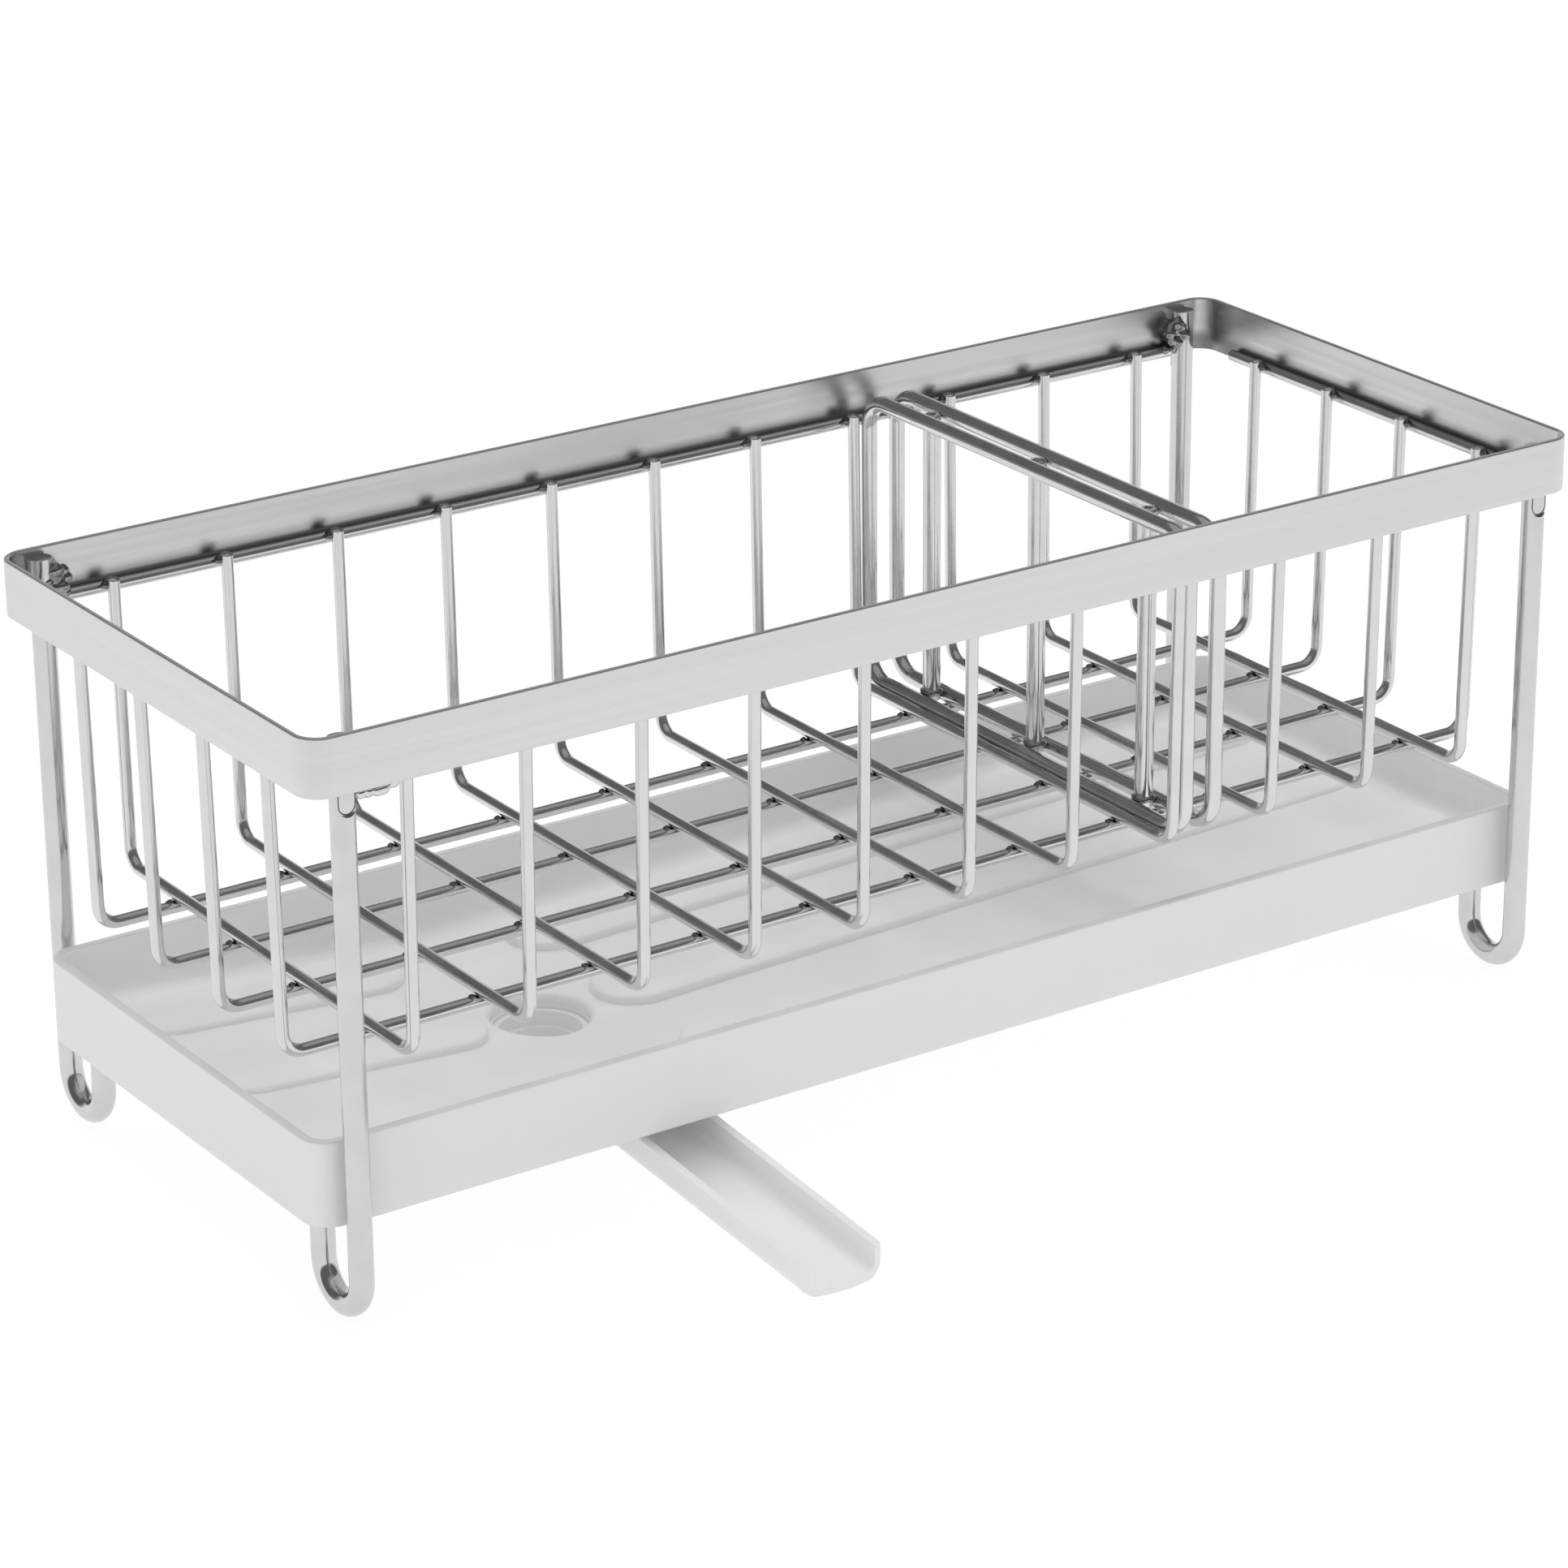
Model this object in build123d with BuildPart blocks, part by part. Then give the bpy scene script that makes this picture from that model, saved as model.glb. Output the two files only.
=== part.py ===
from build123d import *
import math
import os

os.makedirs("parts", exist_ok=True)

# Kitchen sink caddy. Millimetres, +Z up, X along the length, Y from front to back.
# Origin: middle of the footprint, on the surface that the feet stand on.

# ---- driving dimensions --------------------------------------------------------
BAND_LENGTH = 280.0
BAND_WIDTH = 115.0
TOP_HEIGHT = 112.0
BAND_HEIGHT = 11.0
BAND_THICKNESS = 1.0
BAND_CORNER_R = 5.0
BAND_EDGE_R = 0.3

WIRE_D = 2.4
WIRE_END_R = 0.5
CROSS_COUNT = 11
CROSS_FROM_END = 21.5
LONG_COUNT = 4
LONG_FROM_SIDE = 23.0
HOOP_BEND_R = 4.0
HOOP_LEAN = 0.8
HOOP_ABOVE_RAIL = 0.6
BASKET_FLOOR_Z = 47.5
SHORT_RAIL_OVERHANG = 11.0

LEG_D = 4.5
LEG_FROM_END = 7.8
LEG_FLAT_WIDTH = 3.2
LEG_FLAT_BELOW_BAND = 3.6
LEG_TOP_BELOW_BAND = 1.4
LEG_TO_RAIL = 0.75
FOOT_BEND_R = 6.7
FOOT_FLAT_DEPTH = 0.15
RUN_BEND_R = 5.0

DIVIDER_WIRE_D = 3.2
DIVIDER_BAR_D = 3.6
DIVIDER_BEND_R = 6.0
DIVIDER_TOP_BELOW_BAND = 2.8
DIVIDER_FROM_HOOP = 3.05
DIVIDER_HOOP_INDEX = 7
DIVIDER_BAR_COUNT = 3
DIVIDER_BAR_PITCH = 34.9
DIVIDER_BAR_OVER = 0.5
DIVIDER_TO_RAIL = 0.65

TRAY_END_INSET = 1.6
TRAY_HEIGHT = 16.3
TRAY_BOTTOM_Z = 18.4
TRAY_WALL = 2.0
TRAY_CORNER_R = 5.5
TRAY_RIM_R = 0.6
TRAY_FLOOR_T = 1.8
TRAY_COVE_R = 2.8
GROOVE_HIGH_BELOW_RIM = 8.8
GROOVE_LOW_BELOW_RIM = 13.9
RIB_STEP_AT_END = 1.0
RIB_STEP_AT_SUMP = 1.8
RIB_COUNT = 3
RIB_WIDTH = 17.2
RIB_PITCH = 31.0
RIB_EDGE_R = 0.9
RIB_END_INSET = 4.0
RIB_TO_SUMP = 3.0

SUMP_FROM_LEFT_END = 77.0
SUMP_R = 9.6
SUMP_DEPTH = 2.1
SUMP_FLOOR_T = 1.6
SUMP_LIP_R = 1.2
DRAIN_R = 8.0

SPOUT_WIDTH = 17.0
SPOUT_WALL = 1.6
SPOUT_REACH = 99.0
SPOUT_BULGE = 1.5
SPOUT_TIP_Z = 5.4
SPOUT_TIP_DEPTH = 6.1
SPOUT_HUB_DEPTH = 6.8
SPOUT_BEND_AT = 39.0
SPOUT_EDGE_R = 3.0
SPIGOT_WALL = 1.2
SPIGOT_BELOW_FLOOR = 0.6

# ---- clearances ---------------------------------------------------------------
WELD_GAP = 0.02
REST_GAP = 0.3
SLIDE_GAP = 1.4
SPIGOT_GAP = 0.06

# ---- values that follow ---------------------------------------------------------
WIRE_R = WIRE_D / 2
LEG_R = LEG_D / 2
DIV_R = DIVIDER_WIRE_D / 2
BAND_BOTTOM_Z = TOP_HEIGHT - BAND_HEIGHT
INNER_X = BAND_LENGTH / 2 - BAND_THICKNESS
INNER_Y = BAND_WIDTH / 2 - BAND_THICKNESS

RAIL_Z = BAND_BOTTOM_Z + WIRE_R
RAIL_X = INNER_X - WIRE_R - WELD_GAP
RAIL_Y = INNER_Y - WIRE_R - WELD_GAP
HOOP_X = RAIL_X - WIRE_D - WELD_GAP
HOOP_Y = RAIL_Y - WIRE_D - WELD_GAP
HOOP_TOP_Z = RAIL_Z + WIRE_R + HOOP_ABOVE_RAIL
LONG_FLOOR_Z = BASKET_FLOOR_Z - WIRE_D - WELD_GAP
CROSS_PITCH = (BAND_LENGTH - 2 * CROSS_FROM_END) / (CROSS_COUNT - 1)
LONG_PITCH = (BAND_WIDTH - 2 * LONG_FROM_SIDE) / (LONG_COUNT - 1)

LEG_X = BAND_LENGTH / 2 - LEG_FROM_END
LEG_FLAT_Y = INNER_Y - WELD_GAP
LEG_Y = LEG_FLAT_Y - math.sqrt(LEG_R**2 - (LEG_FLAT_WIDTH / 2) ** 2)
LEG_TOP_Z = TOP_HEIGHT - LEG_TOP_BELOW_BAND
LONG_RAIL_HALF = LEG_X - LEG_R - LEG_TO_RAIL
SHORT_RAIL_HALF = LONG_PITCH * (LONG_COUNT - 1) / 2 + SHORT_RAIL_OVERHANG

TRAY_HALF_X = BAND_LENGTH / 2 - TRAY_END_INSET
TRAY_HALF_Y = LEG_Y - LEG_R - SLIDE_GAP
TRAY_TOP_Z = TRAY_BOTTOM_Z + TRAY_HEIGHT
TRAY_IN_X = TRAY_HALF_X - TRAY_WALL
TRAY_IN_Y = TRAY_HALF_Y - TRAY_WALL
SUMP_X = SUMP_FROM_LEFT_END - TRAY_HALF_X
GROOVE_HIGH_Z = TRAY_TOP_Z - GROOVE_HIGH_BELOW_RIM
GROOVE_LOW_Z = TRAY_TOP_Z - GROOVE_LOW_BELOW_RIM
SUMP_FLOOR_Z = GROOVE_LOW_Z - SUMP_DEPTH
SUMP_UNDER_Z = SUMP_FLOOR_Z - SUMP_FLOOR_T

RUN_SLOPE = (GROOVE_HIGH_Z - GROOVE_LOW_Z) / (TRAY_IN_X + SUMP_X)
RUN_UNDER_Z = GROOVE_HIGH_Z - TRAY_FLOOR_T - RUN_SLOPE * (TRAY_IN_X - LEG_X + LEG_R)
RUN_Z = RUN_UNDER_Z - REST_GAP - LEG_R
LIMB_Y = LEG_Y - 2 * FOOT_BEND_R
FOOT_Z = LEG_R + FOOT_BEND_R - FOOT_FLAT_DEPTH

DIV_X = CROSS_PITCH * (DIVIDER_HOOP_INDEX - (CROSS_COUNT - 1) / 2) + DIVIDER_FROM_HOOP
DIV_SPACING = DIVIDER_WIRE_D + DIVIDER_BAR_D + 2 * WELD_GAP
DIV_BOTTOM_Z = LONG_FLOOR_Z + WIRE_R + REST_GAP + DIV_R
DIV_TOP_Z = TOP_HEIGHT - DIVIDER_TOP_BELOW_BAND - DIV_R
DIV_HALF_Y = RAIL_Y - WIRE_R - DIVIDER_TO_RAIL - DIV_R

SPOUT_PLATE_TOP = SUMP_UNDER_Z - REST_GAP
SPOUT_PLATE_BOTTOM = SPOUT_PLATE_TOP - SPOUT_WALL
SPOUT_FLOOR_Z = SPOUT_PLATE_TOP - SPOUT_HUB_DEPTH
SPIGOT_R = DRAIN_R + SPIGOT_WALL
SPIGOT_TOP_Z = SUMP_FLOOR_Z - SPIGOT_BELOW_FLOOR
TIP_SLOPE = (SPOUT_FLOOR_Z - SPOUT_TIP_Z) / (SPOUT_REACH + SPOUT_BULGE - SPOUT_BEND_AT)


# ---- shared shapes -------------------------------------------------------------
def wire_along(points, radius, bend):
    """Round wire bent along a path of straight runs."""
    with BuildPart() as wire:
        with BuildLine():
            path = FilletPolyline(*points, radius=bend)
        start = Plane(origin=path @ 0, z_dir=path % 0)
        with BuildSketch(start):
            Circle(radius)
        sweep(path=path)
    return wire.part


def straight_wire(centre, length, radius, axis):
    """Straight cut wire with softly rounded ends."""
    with BuildPart() as wire:
        with Locations(Location(centre)):
            turn = (0, 90, 0) if axis == "X" else (90, 0, 0)
            Cylinder(radius, length, rotation=turn)
        fillet(wire.edges().filter_by(GeomType.CIRCLE), WIRE_END_R)
    return wire.part


def hoop_points(half, lean, floor_z):
    """Corner points of a U hoop in its own plane, as (across, up)."""
    low = half - lean
    return [(-half, HOOP_TOP_Z), (-low, floor_z), (low, floor_z), (half, HOOP_TOP_Z)]


def cross_hoop(x):
    points = [(x, y, z) for y, z in hoop_points(HOOP_Y, HOOP_LEAN, BASKET_FLOOR_Z)]
    return wire_along(points, WIRE_R, HOOP_BEND_R)


def long_hoop(y):
    points = [(x, y, z) for x, z in hoop_points(HOOP_X, HOOP_LEAN, LONG_FLOOR_Z)]
    return wire_along(points, WIRE_R, HOOP_BEND_R)


def leg_frame(x):
    """Rod bent into two legs, two loop feet and the hidden run that carries the tray."""
    with BuildPart() as frame:
        with BuildLine():
            foot = FOOT_Z
            run = RUN_Z - RUN_BEND_R
            inner = LIMB_Y - RUN_BEND_R
            down = Line((x, -LEG_Y, LEG_TOP_Z), (x, -LEG_Y, foot))
            mid = -LEG_Y + FOOT_BEND_R
            ThreePointArc((x, -LEG_Y, foot), (x, mid, foot - FOOT_BEND_R), (x, -LIMB_Y, foot))
            Line((x, -LIMB_Y, foot), (x, -LIMB_Y, run))
            half = RUN_BEND_R * (1 - math.cos(math.pi / 4))
            ThreePointArc((x, -LIMB_Y, run), (x, half - LIMB_Y, RUN_Z - half), (x, -inner, RUN_Z))
            Line((x, -inner, RUN_Z), (x, inner, RUN_Z))
            ThreePointArc((x, inner, RUN_Z), (x, LIMB_Y - half, RUN_Z - half), (x, LIMB_Y, run))
            Line((x, LIMB_Y, run), (x, LIMB_Y, foot))
            ThreePointArc((x, LIMB_Y, foot), (x, -mid, foot - FOOT_BEND_R), (x, LEG_Y, foot))
            Line((x, LEG_Y, foot), (x, LEG_Y, LEG_TOP_Z))
        with BuildSketch(Plane(origin=down @ 0, z_dir=down % 0)):
            Circle(LEG_R)
        sweep()
        for side in (-1, 1):
            # flat that seats against the band, with a half-round lower end
            flat_end = BAND_BOTTOM_Z - LEG_FLAT_BELOW_BAND + LEG_FLAT_WIDTH / 2
            face = Plane(origin=(x, side * LEG_FLAT_Y, flat_end), x_dir=(1, 0, 0), z_dir=(0, side, 0))
            with BuildSketch(face):
                Circle(LEG_R)
                with Locations((0, -side * (LEG_TOP_Z - flat_end))):
                    Rectangle(LEG_D, 2 * (LEG_TOP_Z - flat_end))
            extrude(amount=LEG_D, mode=Mode.SUBTRACT)
        with Locations((x, 0, -LEG_R)):
            Box(2 * LEG_D, BAND_WIDTH, LEG_D, mode=Mode.SUBTRACT)
    return frame.part


def divider_loop(x):
    """Closed rounded loop of wire standing across the basket."""
    corners = [(DIV_HALF_Y, DIV_BOTTOM_Z), (DIV_HALF_Y, DIV_TOP_Z)]
    corners += [(-DIV_HALF_Y, DIV_TOP_Z), (-DIV_HALF_Y, DIV_BOTTOM_Z)]
    with BuildPart() as loop:
        with BuildLine():
            path = FilletPolyline(*[(x, y, z) for y, z in corners], radius=DIVIDER_BEND_R, close=True)
        with BuildSketch(Plane(origin=path @ 0, z_dir=path % 0)):
            Circle(DIV_R)
        sweep(path=path)
    return loop.part


def valley(top_at_end, top_at_sump, bottom_at_end, bottom_at_sump):
    """V-shaped slab across the tray, from end to end and lowest at the sump."""
    with BuildPart() as slab:
        with BuildSketch(Plane.XZ):
            with BuildLine():
                Polyline(
                    (-TRAY_IN_X, bottom_at_end),
                    (-TRAY_IN_X, top_at_end),
                    (SUMP_X, top_at_sump),
                    (TRAY_IN_X, top_at_end),
                    (TRAY_IN_X, bottom_at_end),
                    (SUMP_X, bottom_at_sump),
                    close=True,
                )
            make_face()
        extrude(amount=TRAY_IN_Y, both=True)
    return slab.part


def rib(x_near, x_far, y):
    """Raised rib with a round end beside the sump, running out at the tray end."""
    length = abs(x_far - x_near)
    with BuildPart() as bar:
        with BuildSketch(Plane.XY.offset(GROOVE_LOW_Z - TRAY_FLOOR_T / 2)):
            with Locations(((x_near + x_far) / 2, y)):
                SlotOverall(length, RIB_WIDTH)
        extrude(amount=TRAY_HEIGHT)
        add(
            valley(
                GROOVE_HIGH_Z + RIB_STEP_AT_END,
                GROOVE_LOW_Z + RIB_STEP_AT_SUMP,
                GROOVE_HIGH_Z - TRAY_FLOOR_T / 2,
                GROOVE_LOW_Z - TRAY_FLOOR_T / 2,
            ),
            mode=Mode.INTERSECT,
        )
        fillet(bar.faces().sort_by(Axis.Z)[-1].edges(), RIB_EDGE_R)
    return bar.part


def spout_block(half_w, end_y, profile, edge_r):
    """Trough-shaped block: round hub end, curved tip, and the given side profile."""
    with BuildPart() as block:
        with BuildSketch(Plane.XY.offset(SPOUT_TIP_Z - SPOUT_WALL)):
            with BuildLine():
                tip = (SUMP_X, end_y - SPOUT_BULGE)
                Line((SUMP_X - half_w, 0), (SUMP_X - half_w, end_y))
                ThreePointArc((SUMP_X - half_w, end_y), tip, (SUMP_X + half_w, end_y))
                Line((SUMP_X + half_w, end_y), (SUMP_X + half_w, 0))
                ThreePointArc((SUMP_X + half_w, 0), (SUMP_X, half_w), (SUMP_X - half_w, 0))
            make_face()
        extrude(amount=TRAY_BOTTOM_Z)
        with BuildSketch(Plane.YZ.offset(SUMP_X - half_w)):
            with BuildLine():
                Polyline(*profile, close=True)
            make_face()
        extrude(amount=2 * half_w, mode=Mode.INTERSECT)
        under = block.faces().filter_by(lambda f: f.normal_at().Z < -0.9)
        sides = under.edges().filter_by(lambda e: abs((e % 0.5).X) < 0.01 and e.length > half_w)
        fillet(sides, edge_r)
    return block.part


# ---- rim -------------------------------------------------------------------------
with BuildPart() as rim_band:
    with BuildSketch(Plane.XY.offset(BAND_BOTTOM_Z)):
        RectangleRounded(BAND_LENGTH, BAND_WIDTH, BAND_CORNER_R)
        RectangleRounded(
            2 * INNER_X, 2 * INNER_Y, BAND_CORNER_R - BAND_THICKNESS, mode=Mode.SUBTRACT
        )
    extrude(amount=BAND_HEIGHT)
    fillet(rim_band.faces().filter_by(Axis.Z).edges(), BAND_EDGE_R)
rim_band.part.label = "rim_band"
export_step(rim_band.part, "parts/rim_band.step")

for name, side in (("front_rail", -1), ("back_rail", 1)):
    with BuildPart() as rail:
        add(straight_wire((0, side * RAIL_Y, RAIL_Z), 2 * LONG_RAIL_HALF, WIRE_R, "X"))
    rail.part.label = name
    export_step(rail.part, f"parts/{name}.step")

for name, side in (("left_rail", -1), ("right_rail", 1)):
    with BuildPart() as rail:
        add(straight_wire((side * RAIL_X, 0, RAIL_Z), 2 * SHORT_RAIL_HALF, WIRE_R, "Y"))
    rail.part.label = name
    export_step(rail.part, f"parts/{name}.step")

# ---- basket ----------------------------------------------------------------------
for index in range(CROSS_COUNT):
    with BuildPart() as hoop:
        add(cross_hoop(CROSS_PITCH * (index - (CROSS_COUNT - 1) / 2)))
    hoop.part.label = f"cross_hoop_{index + 1:02d}"
    export_step(hoop.part, f"parts/cross_hoop_{index + 1:02d}.step")

for index in range(LONG_COUNT):
    with BuildPart() as hoop:
        add(long_hoop(LONG_PITCH * (index - (LONG_COUNT - 1) / 2)))
    hoop.part.label = f"long_hoop_{index + 1}"
    export_step(hoop.part, f"parts/long_hoop_{index + 1}.step")

# ---- legs and feet -----------------------------------------------------------------
for name, side in (("left_leg_frame", -1), ("right_leg_frame", 1)):
    with BuildPart() as legs:
        add(leg_frame(side * LEG_X))
    legs.part.label = name
    export_step(legs.part, f"parts/{name}.step")

# ---- divider ---------------------------------------------------------------------
for name, x in (("divider_loop_left", DIV_X), ("divider_loop_right", DIV_X + DIV_SPACING)):
    with BuildPart() as loop:
        add(divider_loop(x))
    loop.part.label = name
    export_step(loop.part, f"parts/{name}.step")

for index in range(DIVIDER_BAR_COUNT):
    with BuildPart() as bar:
        bar_y = DIVIDER_BAR_PITCH * (index - (DIVIDER_BAR_COUNT - 1) / 2)
        bar_length = DIV_TOP_Z - DIV_BOTTOM_Z + 2 * DIVIDER_BAR_OVER
        with Locations((DIV_X + DIV_SPACING / 2, bar_y, (DIV_TOP_Z + DIV_BOTTOM_Z) / 2)):
            Cylinder(DIVIDER_BAR_D / 2, bar_length)
        fillet(bar.edges().filter_by(GeomType.CIRCLE), WIRE_END_R)
    bar.part.label = f"divider_bar_{index + 1}"
    export_step(bar.part, f"parts/divider_bar_{index + 1}.step")

# ---- drain tray ------------------------------------------------------------------
with BuildPart() as drain_tray:
    with BuildSketch(Plane.XY.offset(TRAY_BOTTOM_Z)):
        RectangleRounded(2 * TRAY_HALF_X, 2 * TRAY_HALF_Y, TRAY_CORNER_R)
    extrude(amount=TRAY_HEIGHT)
    with BuildSketch(Plane.XY.offset(TRAY_BOTTOM_Z)):
        RectangleRounded(2 * TRAY_IN_X, 2 * TRAY_IN_Y, TRAY_CORNER_R - TRAY_WALL)
    extrude(amount=TRAY_HEIGHT, mode=Mode.SUBTRACT)
    fillet(drain_tray.faces().sort_by(Axis.Z)[-1].edges(), TRAY_RIM_R)
    add(valley(GROOVE_HIGH_Z, GROOVE_LOW_Z, GROOVE_HIGH_Z - TRAY_FLOOR_T, GROOVE_LOW_Z - TRAY_FLOOR_T))
    # keep the slab inside the rounded corners of the wall
    with BuildSketch(Plane.XY.offset(SUMP_UNDER_Z)):
        RectangleRounded(2 * TRAY_HALF_X, 2 * TRAY_HALF_Y, TRAY_CORNER_R)
    extrude(amount=TRAY_TOP_Z - SUMP_UNDER_Z, mode=Mode.INTERSECT)
    # cove all round, where the floor meets the wall
    floors = drain_tray.faces().filter_by(lambda f: f.normal_at().Z > 0.9).sort_by(Axis.Z)[:2]
    against_wall = floors.edges().filter_by(lambda e: abs((e @ 0.5).X - SUMP_X) > WELD_GAP)
    fillet(against_wall, TRAY_COVE_R)
    for index in range(RIB_COUNT):
        rib_y = RIB_PITCH * (index - (RIB_COUNT - 1) / 2)
        rib_end = TRAY_IN_X - RIB_END_INSET
        rib_start = SUMP_R + RIB_TO_SUMP
        add(rib(SUMP_X - rib_start, -rib_end, rib_y))
        add(rib(SUMP_X + rib_start, rib_end, rib_y))
    with Locations((SUMP_X, 0, SUMP_UNDER_Z)):
        Cylinder(
            SUMP_R + TRAY_WALL,
            GROOVE_LOW_Z - SUMP_UNDER_Z,
            align=(Align.CENTER, Align.CENTER, Align.MIN),
        )
    with Locations((SUMP_X, 0, SUMP_FLOOR_Z)):
        Cylinder(
            SUMP_R,
            TRAY_HEIGHT,
            align=(Align.CENTER, Align.CENTER, Align.MIN),
            mode=Mode.SUBTRACT,
        )
    # round lip where the sloped floor drops into the sump
    lip = drain_tray.edges().filter_by(lambda e: (e @ 0.5).Z > GROOVE_LOW_Z - WELD_GAP)
    lip = lip.filter_by(lambda e: abs(math.hypot((e @ 0.5).X - SUMP_X, (e @ 0.5).Y) - SUMP_R) < WELD_GAP)
    fillet(lip, SUMP_LIP_R)
    # drain hole that the spout's spigot plugs up into
    with Locations((SUMP_X, 0, SUMP_UNDER_Z)):
        Cylinder(
            SPIGOT_R + SPIGOT_GAP,
            TRAY_HEIGHT,
            align=(Align.CENTER, Align.CENTER, Align.MIN),
            mode=Mode.SUBTRACT,
        )
drain_tray.part.label = "drain_tray"
export_step(drain_tray.part, "parts/drain_tray.step")

# ---- spout -----------------------------------------------------------------------
HALF_W = SPOUT_WIDTH / 2
IN_HALF_W = HALF_W - SPOUT_WALL
TIP_Y = -SPOUT_REACH - SPOUT_BULGE
shell = spout_block(
    HALF_W,
    -SPOUT_REACH,
    [
        (TIP_Y, SPOUT_TIP_Z),
        (-SPOUT_BEND_AT, SPOUT_FLOOR_Z),
        (HALF_W, SPOUT_FLOOR_Z),
        (HALF_W, SPOUT_PLATE_TOP),
        (-SPOUT_BEND_AT, SPOUT_PLATE_TOP),
        (TIP_Y, SPOUT_TIP_Z + SPOUT_TIP_DEPTH),
    ],
    SPOUT_EDGE_R,
)
# open at the tip and along the top, covered by the plate around the hub
channel = spout_block(
    IN_HALF_W,
    -SPOUT_REACH - SPOUT_WALL - SPOUT_BULGE,
    [
        (TIP_Y - 2 * SPOUT_WALL, SPOUT_TIP_Z + SPOUT_WALL - 2 * SPOUT_WALL * TIP_SLOPE),
        (-SPOUT_BEND_AT, SPOUT_FLOOR_Z + SPOUT_WALL),
        (HALF_W, SPOUT_FLOOR_Z + SPOUT_WALL),
        (HALF_W, SPOUT_PLATE_BOTTOM),
        (-HALF_W, SPOUT_PLATE_BOTTOM),
        (-HALF_W, TRAY_BOTTOM_Z),
        (TIP_Y - 2 * SPOUT_WALL, TRAY_BOTTOM_Z),
    ],
    SPOUT_EDGE_R - SPOUT_WALL,
)
with BuildPart() as spout:
    add(shell)
    add(channel, mode=Mode.SUBTRACT)
    # spigot that turns in the tray's drain hole, with the drain bore through it
    with Locations((SUMP_X, 0, SPOUT_PLATE_BOTTOM)):
        Cylinder(
            SPIGOT_R,
            SPIGOT_TOP_Z - SPOUT_PLATE_BOTTOM,
            align=(Align.CENTER, Align.CENTER, Align.MIN),
        )
        Cylinder(
            DRAIN_R,
            SPIGOT_TOP_Z - SPOUT_PLATE_BOTTOM,
            align=(Align.CENTER, Align.CENTER, Align.MIN),
            mode=Mode.SUBTRACT,
        )
spout.part.label = "spout"
export_step(spout.part, "parts/spout.step")
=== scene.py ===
"""Kitchen sink caddy: the look of the steel, the welds and the moulded plastic, and the photo stage."""

import math
import random

import bpy
from mathutils import Euler, Matrix, Vector


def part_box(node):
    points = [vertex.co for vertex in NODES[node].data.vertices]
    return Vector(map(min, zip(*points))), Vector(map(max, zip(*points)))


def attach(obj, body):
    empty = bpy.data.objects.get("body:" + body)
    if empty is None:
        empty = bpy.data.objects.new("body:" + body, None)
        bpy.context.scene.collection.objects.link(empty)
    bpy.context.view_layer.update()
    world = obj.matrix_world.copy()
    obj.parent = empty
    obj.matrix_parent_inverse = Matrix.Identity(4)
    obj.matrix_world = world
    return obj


bl_info = {
    "name": "Kitchen Sink Caddy",
    "version": (1, 0, 0),
    "blender": (4, 5, 0),
    "location": "View3D > Sidebar > Caddy",
    "description": "Finishes a wire sink caddy with welds, steel and moulded plastic",
    "category": "Object",
}

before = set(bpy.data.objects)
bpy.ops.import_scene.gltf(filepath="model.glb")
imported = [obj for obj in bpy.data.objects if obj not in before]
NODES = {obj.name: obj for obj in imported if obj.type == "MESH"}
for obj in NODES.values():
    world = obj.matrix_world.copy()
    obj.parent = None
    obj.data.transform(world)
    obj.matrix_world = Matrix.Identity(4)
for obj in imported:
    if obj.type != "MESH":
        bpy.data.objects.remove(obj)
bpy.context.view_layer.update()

MM = 0.001
CROSS_HOOPS = sorted(name for name in NODES if name.startswith("cross_hoop"))
LONG_HOOPS = sorted(name for name in NODES if name.startswith("long_hoop"))
RAILS = ["front_rail", "back_rail", "left_rail", "right_rail"]
LEG_FRAMES = ["left_leg_frame", "right_leg_frame"]
DIVIDER_LOOPS = ["divider_loop_left", "divider_loop_right"]
DIVIDER_BARS = sorted(name for name in NODES if name.startswith("divider_bar"))


# ---- places read from the frame -------------------------------------------------
def middle(node):
    low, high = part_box(node)
    return (low + high) / 2


def half_size(node):
    low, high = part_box(node)
    return (high - low) / 2


WIRE_R = half_size(CROSS_HOOPS[0]).x
CROSS_XS = [middle(name).x for name in CROSS_HOOPS]
LONG_YS = [middle(name).y for name in LONG_HOOPS]
CROSS_PITCH = CROSS_XS[1] - CROSS_XS[0]
LONG_PITCH = LONG_YS[1] - LONG_YS[0]
FLOOR_CONTACT_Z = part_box(CROSS_HOOPS[0])[0].z
HOOP_TOP_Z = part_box(CROSS_HOOPS[0])[1].z
CROSS_TOP_Y = half_size(CROSS_HOOPS[0]).y - WIRE_R
LONG_TOP_X = half_size(LONG_HOOPS[0]).x - WIRE_R
RAIL_END_X = half_size("front_rail").x
RAIL_Y = abs(middle("front_rail").y)
RAIL_Z = middle("front_rail").z
BAND_LOW, BAND_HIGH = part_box("rim_band")
LEG_XS = [middle(name).x for name in LEG_FRAMES]
DIVIDER_R = half_size("divider_loop_left").x
BAR_X = middle("divider_bar_1").x
BAR_YS = [middle(name).y for name in DIVIDER_BARS]
BAR_LOW_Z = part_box("divider_bar_1")[0].z
BAR_TOP_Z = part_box("divider_bar_1")[1].z
TRAY_TOP_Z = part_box("drain_tray")[1].z

# The band's box doesn't tell these two, so they repeat the solid's own values.
BAND_CORNER_R = 5.0 * MM
BAND_THICK = 1.0 * MM


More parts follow.
